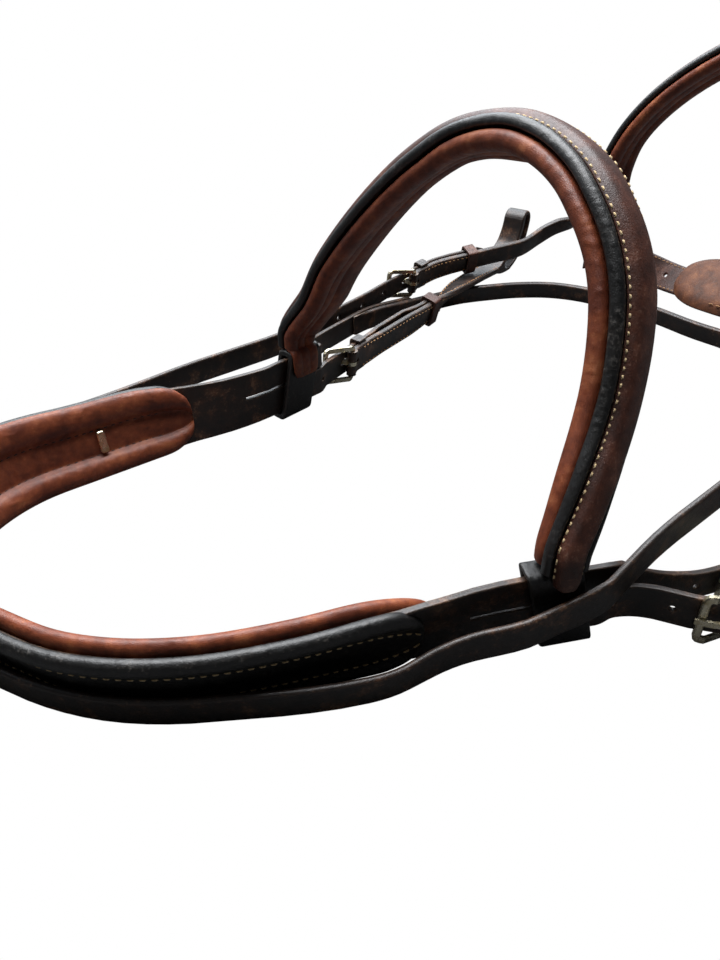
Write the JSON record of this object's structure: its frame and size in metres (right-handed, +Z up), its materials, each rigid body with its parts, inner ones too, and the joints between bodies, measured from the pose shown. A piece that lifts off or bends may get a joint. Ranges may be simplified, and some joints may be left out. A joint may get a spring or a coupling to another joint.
{
  "type": "bridle",
  "caption": "Raised padded bridle laid open on a flat surface, with padded headpiece, arched browband and noseband, buckled cheekpieces, throatlatch, sliphead and chin strap.",
  "frame": {"origin": "middle of the layout, on the surface that it lies on", "axes": "+X along the layout's long side, +Z up from the surface, the picture is taken from the -Y side"},
  "size_m": [0.5646, 0.451, 0.1853],
  "materials": {
    "black_leather": "smooth near-black brown leather with waxed edges",
    "brown_leather": "dark havana leather, lightly polished",
    "tan_leather": "soft tan lining leather over padding",
    "nickel": "worn pale nickel plating"
  },
  "bodies": {
    "bridle": {"cheek_far_buckle": "nickel", "cheek_far_keeper": "brown_leather", "cheek_far_strap": "black_leather", "cheek_near_buckle": "nickel", "cheek_near_keeper": "brown_leather", "cheek_near_strap": "black_leather", "chin_buckle": "nickel", "chin_keeper": "brown_leather", "chin_pad": "tan_leather", "chin_strap": "brown_leather", "chin_tab": "brown_leather", "headpiece_crown": "black_leather", "headpiece_facing": "black_leather", "headpiece_pad": "tan_leather", "headpiece_staple_far": "nickel", "headpiece_staple_near": "nickel", "noseband_base": "black_leather", "noseband_facing": "brown_leather", "noseband_pad": "tan_leather", "sliphead_buckle": "nickel", "sliphead_hanger": "black_leather", "sliphead_keeper": "brown_leather", "sliphead_strap": "black_leather", "throatlatch_buckle": "nickel", "throatlatch_keeper": "brown_leather", "throatlatch_strap": "black_leather"},
    "cheek_far_tongue": {"cheek_far_tongue": "nickel"},
    "cheek_near_tongue": {"cheek_near_tongue": "nickel"},
    "throatlatch_tongue": {"throatlatch_tongue": "nickel"},
    "sliphead_tongue": {"sliphead_tongue": "nickel"},
    "chin_tongue": {"chin_tongue": "nickel"},
    "cheek_far_runner": {"cheek_far_runner": "brown_leather"},
    "cheek_near_runner": {"cheek_near_runner": "brown_leather"},
    "throatlatch_runner": {"throatlatch_runner": "brown_leather"},
    "sliphead_runner": {"sliphead_runner": "brown_leather"},
    "browband": {"browband_base": "black_leather", "browband_facing": "brown_leather", "browband_loop_far": "black_leather", "browband_loop_near": "black_leather", "browband_pad": "tan_leather"}
  },
  "joints": [
    {"name": "cheek_far_tongue_hinge", "type": "hinge", "parent": "bridle", "child": "cheek_far_tongue", "pos_m": [-0.09624, 0.0278, 0.0131], "axis": [-0.0664, 0.047, -0.9967], "range_deg": [0, 25]},
    {"name": "cheek_far_runner_slide", "type": "slide", "parent": "bridle", "child": "cheek_far_runner", "axis": [0.5876, 0.8046, 0.0859], "range_m": [-0.004, 0.004]},
    {"name": "cheek_near_tongue_hinge", "type": "hinge", "parent": "bridle", "child": "cheek_near_tongue", "pos_m": [0.05178, -0.17993, 0.01349], "axis": [-0.0099, 0.0025, 0.9999], "range_deg": [0, 25]},
    {"name": "cheek_near_runner_slide", "type": "slide", "parent": "bridle", "child": "cheek_near_runner", "axis": [0.9974, 0.0716, -0.0097], "range_m": [-0.004, 0.004]},
    {"name": "throatlatch_tongue_hinge", "type": "hinge", "parent": "bridle", "child": "throatlatch_tongue", "pos_m": [0.06193, -0.15043, 0.01192], "axis": [0.0007, -0.0001, 1], "range_deg": [0, 25]},
    {"name": "throatlatch_runner_slide", "type": "slide", "parent": "bridle", "child": "throatlatch_runner", "axis": [0.8491, 0.5282, -0.0093], "range_m": [-0.004, 0.004]},
    {"name": "sliphead_tongue_hinge", "type": "hinge", "parent": "bridle", "child": "sliphead_tongue", "pos_m": [-0.0548, 0.12682, 0.02592], "axis": [-0.0858, 0.1858, -0.9788], "range_deg": [0, 25]},
    {"name": "sliphead_runner_slide", "type": "slide", "parent": "bridle", "child": "sliphead_runner", "axis": [0.8996, 0.431, 0.0709], "range_m": [-0.004, 0.004]},
    {"name": "chin_tongue_hinge", "type": "hinge", "parent": "bridle", "child": "chin_tongue", "pos_m": [0.18811, 0.10996, 0.01908], "axis": [-0.4262, -0.6361, -0.6433], "range_deg": [0, 25]},
    {"name": "browband_slide", "type": "slide", "parent": "bridle", "child": "browband", "axis": [0.8749, 0.484, 0.0157], "range_m": [-0.002, 0.002]}
  ]
}
